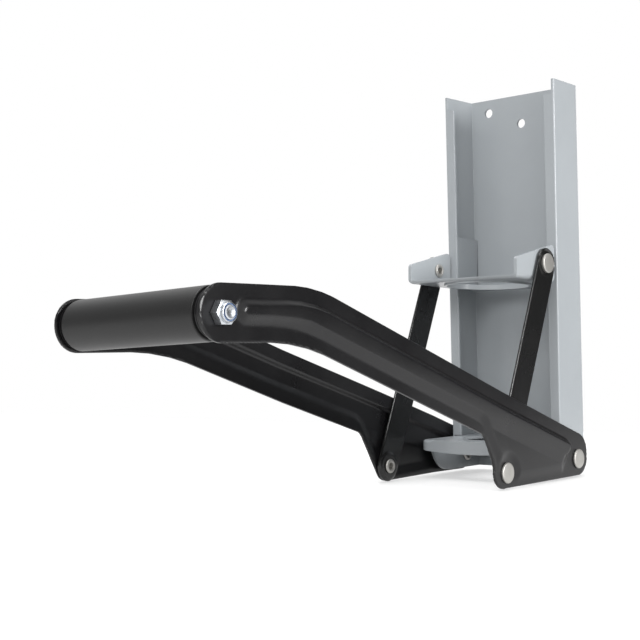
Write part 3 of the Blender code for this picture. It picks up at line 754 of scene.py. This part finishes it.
def turned(profile, centre, side, steps=48):
    """A solid turned about an axis along X, from a profile of (distance from the middle, radius)."""
    bm = bmesh.new()
    points = [bm.verts.new((side * x, centre.y, centre.z + radius)) for x, radius in profile]
    edges = [bm.edges.new(pair) for pair in zip(points, points[1:])]
    bmesh.ops.spin(
        bm, geom=points + edges, cent=centre, axis=(1, 0, 0), angle=math.tau, steps=steps, use_merge=True
    )
    bmesh.ops.remove_doubles(bm, verts=bm.verts, dist=1e-6)
    bmesh.ops.recalc_face_normals(bm, faces=bm.faces)
    return bm


def head(face, seat):
    """A flat head whose top stands 2 mm over a face, with a slightly crowned top and a soft edge."""
    top = face + 0.0020
    edge = RIVET_HEAD
    return [
        (top, 0),
        (top - 0.00002, edge * 0.5),
        (top - 0.00008, edge * 0.86),
        (top - 0.00022, edge * 0.945),
        (top - 0.00050, edge * 0.985),
        (top - 0.00080, edge),
        (top - 0.00155, edge),
        (top - 0.00170, edge - 0.00015),
        (seat, edge - 0.00030),
        (seat, RIVET_SHANK),
    ]


def tail(face):
    """A tail rolled outwards against a face, round its open bore."""
    low = face - 0.0019
    return [
        (face - GAP, RIVET_SHANK),
        (face - GAP, RIVET_TAIL - 0.0003),
        (face - 0.0007, RIVET_TAIL),
        (face - 0.0012, RIVET_TAIL - 0.0001),
        (low + 0.0002, RIVET_TAIL - 0.0006),
        (low, RIVET_TAIL - 0.0012),
        (low + 0.0001, RIVET_BORE + 0.0006),
        (low + 0.0004, RIVET_BORE + 0.0001),
        (low + 0.0008, RIVET_BORE),
        (low + 0.0037, RIVET_BORE),
        (low + 0.0040, 0),
    ]


metal_group, metal_in, metal_out = new_group(
    "metal_texture",
    (("Grain scale", 1800.0), ("Stain scale", 160.0)),
    ("Grain", "Stain"),
)
metal_place = node(metal_group, "ShaderNodeTexCoord").outputs["Object"]
grain = node(
    metal_group,
    "ShaderNodeTexNoise",
    Vector=metal_place,
    Scale=metal_in.outputs[0],
    Detail=3.0,
    Roughness=0.6,
)
stain = node(
    metal_group,
    "ShaderNodeTexNoise",
    Vector=metal_place,
    Scale=metal_in.outputs[1],
    Detail=3.0,
    Roughness=0.6,
)
metal_group.links.new(grain.outputs["Fac"], metal_out.inputs["Grain"])
metal_group.links.new(stain.outputs["Fac"], metal_out.inputs["Stain"])


def plated(name, dark, light, rough_low, rough_high, relief_depth, metal=1.0):
    """A plated steel: two shades over its stains, its sheen over its grain, and a fine relief."""
    made = bpy.data.materials.new(name)
    made.use_nodes = True
    tree = made.node_tree
    shader = tree.nodes["Principled BSDF"]
    texture = tree.nodes.new("ShaderNodeGroup")
    texture.node_tree = metal_group
    shade = blend_colours(tree, texture.outputs["Stain"], (*dark, 1), (*light, 1))
    sheen = sheen_between(tree, texture.outputs["Grain"], rough_low, rough_high)
    grained = texture.outputs["Grain"]
    relief = node(tree, "ShaderNodeBump", Height=grained, Strength=1.0, Distance=relief_depth)
    tree.links.new(shade.outputs[2], shader.inputs["Base Color"])
    tree.links.new(sheen.outputs["Result"], shader.inputs["Roughness"])
    tree.links.new(relief.outputs["Normal"], shader.inputs["Normal"])
    shader.inputs["Metallic"].default_value = metal
    return made


rivet_nickel = plated("dull_nickel", (0.38, 0.37, 0.345), (0.51, 0.50, 0.48), 0.42, 0.58, 0.00003, 0.85)
zinc_plate = plated("bright_zinc", (0.52, 0.55, 0.58), (0.70, 0.72, 0.75), 0.26, 0.38, 0.00001)
pivot = Vector((0, PIVOT_Y, 0))
for word, side in (("left", -1), ("right", 1)):
    pieces = (
        ("pivot_rivet", pivot, head(ARM_OUT, ARM_OUT + GAP) + tail(HALF - CHANNEL_SHEET), "channel"),
        ("ram_rivet", RAM_PIN, head(LINK_IN + 0.0030, LINK_IN + 0.0023) + tail(HALF - RAM_SHEET), "ram"),
        (
            "link_rivet_head",
            CRANK_PIN,
            head(ARM_OUT, ARM_OUT + GAP) + [(ARM_IN, RIVET_SHANK), (ARM_IN, 0)],
            "lever",
        ),
        ("link_rivet_tail", CRANK_PIN, [(COLLAR_OUT, 0), (COLLAR_OUT, RIVET_SHANK)] + tail(LINK_IN), "links"),
    )
    for name, pin, profile, body in pieces:
        rivet = as_object(f"{name}_turned_{word}", turned(profile, pin, side))
        install(rivet, rivet_nickel, body, "rivet_steel", f"{name}_{word}")
    collar = [
        (COLLAR_IN, COLLAR_BORE),
        (COLLAR_IN, 0.0072),
        (0.0506, COLLAR_RADIUS),
        (0.0530, COLLAR_RADIUS),
        (COLLAR_OUT, 0.0072),
        (COLLAR_OUT, COLLAR_BORE),
        (COLLAR_IN, COLLAR_BORE),
    ]
    spacer = as_object(f"pivot_collar_{word}", turned(collar, pivot, side))
    install(spacer, zinc_plate, "channel", "zinc_steel", f"pivot_spacer_{word}")

# Handle. A black sleeve over a steel tube, clamped between the arms by one long bolt with a lock nut on
# the right and its head on the left. Black washers close the tube's ends.
GRIP_RADIUS = 0.0155
TUBE_RADIUS = 0.0117
WASHER_SHEET = 0.0016
WASHER_RADIUS = 0.01425
BOLT_HOLE = 0.0043
CROWN_BORE = 0.00512
NUT_ACROSS = 0.0130
NUT_HEIGHT = 0.0052
NUT_CROWN = 0.0024
BOLT_RADIUS = 0.0040
BOLT_HEAD = 0.0053
washer_out = ARM_IN + ARM_SPLAY - GAP
washer_in = washer_out - WASHER_SHEET
tube_end = washer_in - GAP
grip_end = tube_end - 0.0015
nut_seat = ARM_OUT + ARM_SPLAY + GAP
nut_top = nut_seat + NUT_HEIGHT


def hang(bm):
    """Lets the handle's left end sit lower, as the play in the rivets does."""
    for vert in bm.verts:
        vert.co.z -= LEFT_SAG * clamp((washer_out - vert.co.x) / (2 * washer_out))
    return bm


def tube_profile(half, outer, inner, soft):
    """A sleeve between two planes, with softened ends."""
    return [
        (-half, inner),
        (-half, outer - soft),
        (-half + soft * 0.3, outer - soft * 0.3),
        (-half + soft, outer),
        (half - soft, outer),
        (half - soft * 0.3, outer - soft * 0.3),
        (half, outer - soft),
        (half, inner),
        (-half, inner),
    ]


black_grip = sprayed(
    "black_sleeve",
    (0.0070, 0.0070, 0.0070),
    (0.0100, 0.0100, 0.0100),
    (0.03, 0.03, 0.03),
    0.38,
    0.44,
    0.00003,
    1600.0,
    0.40,
)
grip = turned(tube_profile(grip_end, GRIP_RADIUS, TUBE_RADIUS + GAP, 0.0012), HANDLE, 1, 96)
grip_piece = as_object("handle_sleeve", hang(grip))
install(grip_piece, black_grip, "lever", "black_grip", "handle_grip")
tube = turned(tube_profile(grip_end, TUBE_RADIUS, TUBE_RADIUS - 0.0015, 0.0003), HANDLE, 1, 64)
install(as_object("handle_core", hang(tube)), zinc_plate, "lever", "zinc_steel", "handle_tube")
for word, side in (("left", -1), ("right", 1)):
    washer = turned(
        [
            (grip_end + GAP, BOLT_HOLE),
            (grip_end + GAP, WASHER_RADIUS - 0.0005),
            (grip_end + GAP + 0.0003, WASHER_RADIUS - 0.0002),
            (washer_in - 0.0002, WASHER_RADIUS - 0.0002),
            (washer_in, WASHER_RADIUS - 0.0012),
            (washer_in + 0.0002, WASHER_RADIUS - 0.0012),
            (washer_in + 0.0005, WASHER_RADIUS),
            (washer_out - 0.0003, WASHER_RADIUS),
            (washer_out, WASHER_RADIUS - 0.0003),
            (washer_out, BOLT_HOLE),
            (grip_end + GAP, BOLT_HOLE),
        ],
        HANDLE,
        side,
        64,
    )
    washer_piece = as_object(f"handle_end_washer_{word}", hang(washer))
    install(washer_piece, black_coat, "lever", "black_coat", f"handle_washer_{word}")


def hexagon(low, high, side):
    """A hexagonal block with its corners turned off at the outer end."""
    corner = NUT_ACROSS / 2 / math.cos(math.pi / 6)
    bm = rod("X", HANDLE, corner, *sorted((side * low, side * high)), 6)
    made = as_object("hexagon", bm)
    cone = [
        (low - PROUD, 0),
        (low - PROUD, corner * 1.3),
        (high - 0.0013, corner * 1.10),
        (high - 0.0004, corner * 0.955),
        (high, corner * 0.80),
        (high, 0),
    ]
    shape(made, "INTERSECT", turned(cone, HANDLE, side, 72))
    return made


nut = hexagon(nut_seat, nut_top, 1)
crown = [
    (nut_top - 0.001, 0),
    (nut_top - 0.001, 0.0056),
    (nut_top + 0.0015, 0.00558),
    (nut_top + 0.0021, 0.00552),
    (nut_top + NUT_CROWN, 0.0054),
    (nut_top + NUT_CROWN, 0),
]
shape(nut, "UNION", turned(crown, HANDLE, 1, 64))
soften(nut, 0.00012)
shape(
    nut,
    "DIFFERENCE",
    rod("X", HANDLE, BOLT_HOLE, nut_seat - PROUD, nut_top + 2 * PROUD),
    rod("X", HANDLE, CROWN_BORE, nut_top - 0.0001, nut_top + 2 * PROUD),
)
nut.name = "lock_nut"
install(nut, zinc_plate, "lever", "zinc_steel", "handle_nut")
bolt_end = nut_top + NUT_CROWN
bolt = as_object("long_bolt", rod("X", HANDLE, BOLT_RADIUS, -nut_seat - BOLT_HEAD / 2, bolt_end - 0.0002))
bolt_tip = turned(
    [
        (nut_top - 0.001, 0),
        (nut_top - 0.001, BOLT_RADIUS),
        (bolt_end + 0.0001, BOLT_RADIUS),
        (bolt_end + 0.0006, BOLT_RADIUS - 0.0006),
        (bolt_end + 0.0006, BOLT_RADIUS - 0.0014),
        (bolt_end + 0.0003, BOLT_RADIUS - 0.0022),
        (bolt_end + 0.0003, 0),
    ],
    HANDLE,
    1,
)
shape(bolt, "UNION", bolt_tip)
bolt_hex = hexagon(nut_seat, nut_seat + BOLT_HEAD, -1)
bolt_hex_bm = bmesh.new()
bolt_hex_bm.from_mesh(bolt_hex.data)
bpy.data.objects.remove(bolt_hex, do_unlink=True)
shape(bolt, "UNION", bolt_hex_bm)
bolt_bm = bmesh.new()
bolt_bm.from_mesh(bolt.data)
hang(bolt_bm)
bolt_bm.to_mesh(bolt.data)
bolt_bm.free()
install(bolt, zinc_plate, "lever", "zinc_steel", "handle_bolt")
nylon = sprayed(
    "pale_nylon", (0.12, 0.18, 0.32), (0.16, 0.23, 0.38), (0.3, 0.3, 0.3), 0.42, 0.5, 0.00001, 900.0
)
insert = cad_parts["nut_insert"]
insert.data.materials.clear()
insert.data.materials.append(nylon)

# Room. A plain white floor that hardly darkens in the shade, and a white surround that is dark behind the
# object and dimmer in front of it. Three soft lamps stand above, to the right and in front.
FLOOR_Z = cad_box[0][2] - 0.0005
DARK_SIDE = (0.656, 0.754, 0.0)
DIM_SIDE = (-0.656, -0.754, 0.0)
floor_bm = bmesh.new()
bmesh.ops.create_grid(floor_bm, x_segments=1, y_segments=1, size=1.6)
bmesh.ops.translate(floor_bm, verts=floor_bm.verts, vec=(-1.1, -1.15, FLOOR_Z))
floor = as_object("floor", floor_bm)
floor_paint = bpy.data.materials.new("white_floor")
floor_paint.use_nodes = True
floor_shader = floor_paint.node_tree.nodes["Principled BSDF"]
floor_shader.inputs["Base Color"].default_value = (0.5, 0.5, 0.5, 1)
floor_shader.inputs["Roughness"].default_value = 0.9
floor_shader.inputs["Emission Color"].default_value = (1, 1, 1, 1)
floor_tree = floor_paint.node_tree
seen = node(floor_tree, "ShaderNodeLightPath")
mirrored = node(
    floor_tree, "ShaderNodeMath", {"operation": "MULTIPLY"}, _0=seen.outputs["Is Glossy Ray"], _1=0.45
)
lift = node(
    floor_tree,
    "ShaderNodeMath",
    {"operation": "MULTIPLY_ADD"},
    _0=seen.outputs["Is Camera Ray"],
    _1=0.50,
    _2=mirrored.outputs["Value"],
)
floor_tree.links.new(lift.outputs["Value"], floor_shader.inputs["Emission Strength"])
floor.data.materials.append(floor_paint)

world = bpy.data.worlds.new("studio")
bpy.context.scene.world = world
world.use_nodes = True
sky = world.node_tree
toward = node(sky, "ShaderNodeTexCoord").outputs["Generated"]
dark_side = node(sky, "ShaderNodeVectorMath", {"operation": "DOT_PRODUCT"}, _0=toward, _1=DARK_SIDE)
fall = node(
    sky,
    "ShaderNodeMapRange",
    {"interpolation_type": "SMOOTHSTEP"},
    Value=dark_side.outputs["Value"],
    From_Min=0.42,
    From_Max=0.85,
    To_Min=1.0,
    To_Max=0.05,
)
dim_side = node(sky, "ShaderNodeVectorMath", {"operation": "DOT_PRODUCT"}, _0=toward, _1=DIM_SIDE)
dim = node(
    sky,
    "ShaderNodeMapRange",
    {"interpolation_type": "SMOOTHSTEP"},
    Value=dim_side.outputs["Value"],
    From_Min=0.30,
    From_Max=0.90,
    To_Min=1.0,
    To_Max=0.45,
)
glow = node(
    sky, "ShaderNodeMath", {"operation": "MULTIPLY"}, _0=fall.outputs["Result"], _1=dim.outputs["Result"]
)
sky.links.new(glow.outputs["Value"], sky.nodes["Background"].inputs["Strength"])
sky.nodes["Background"].inputs["Color"].default_value = (1, 1, 1, 1)
bpy.context.scene.view_settings.view_transform = "Standard"


def lamp(name, place, target, size, power):
    """A round soft lamp that faces a point."""
    data = bpy.data.lights.new(name, "AREA")
    data.shape = "DISK"
    data.size = size
    data.energy = power
    made = bpy.data.objects.new(name, data)
    made.location = place
    made.rotation_euler = (Vector(target) - Vector(place)).to_track_quat("-Z", "Y").to_euler()
    bpy.context.scene.collection.objects.link(made)


lamp("top_lamp", (-0.2, -0.4, 1.8), (0, -0.1, 0.1), 1.4, 16.0)
lamp("right_lamp", (1.9, 0.02, 0.46), (0, -0.05, 0.12), 0.7, 33.0)
lamp("front_lamp", (0.5, -2.2, 1.1), (0, -0.05, 0.12), 1.0, 18.0)

camera_data = bpy.data.cameras.new("camera")
camera = bpy.data.objects.new("camera", camera_data)
azimuth, elevation, roll = math.radians(41.017), math.radians(1.611), math.radians(-1.034)
level = math.cos(elevation)
look = Vector((-math.sin(azimuth) * level, math.cos(azimuth) * level, math.sin(elevation)))
right = look.cross(AXES["Z"]).normalized()
up = right.cross(look)
camera_x = right * math.cos(roll) + up * math.sin(roll)
camera_y = up * math.cos(roll) - right * math.sin(roll)
facing = Matrix((camera_x, camera_y, -look)).transposed().to_4x4()
camera.matrix_world = Matrix.Translation((0.5312, -0.8700, 0.0847)) @ facing
camera_data.lens = 68.68125
camera_data.clip_start = 0.05
bpy.context.scene.collection.objects.link(camera)
bpy.context.scene.camera = camera
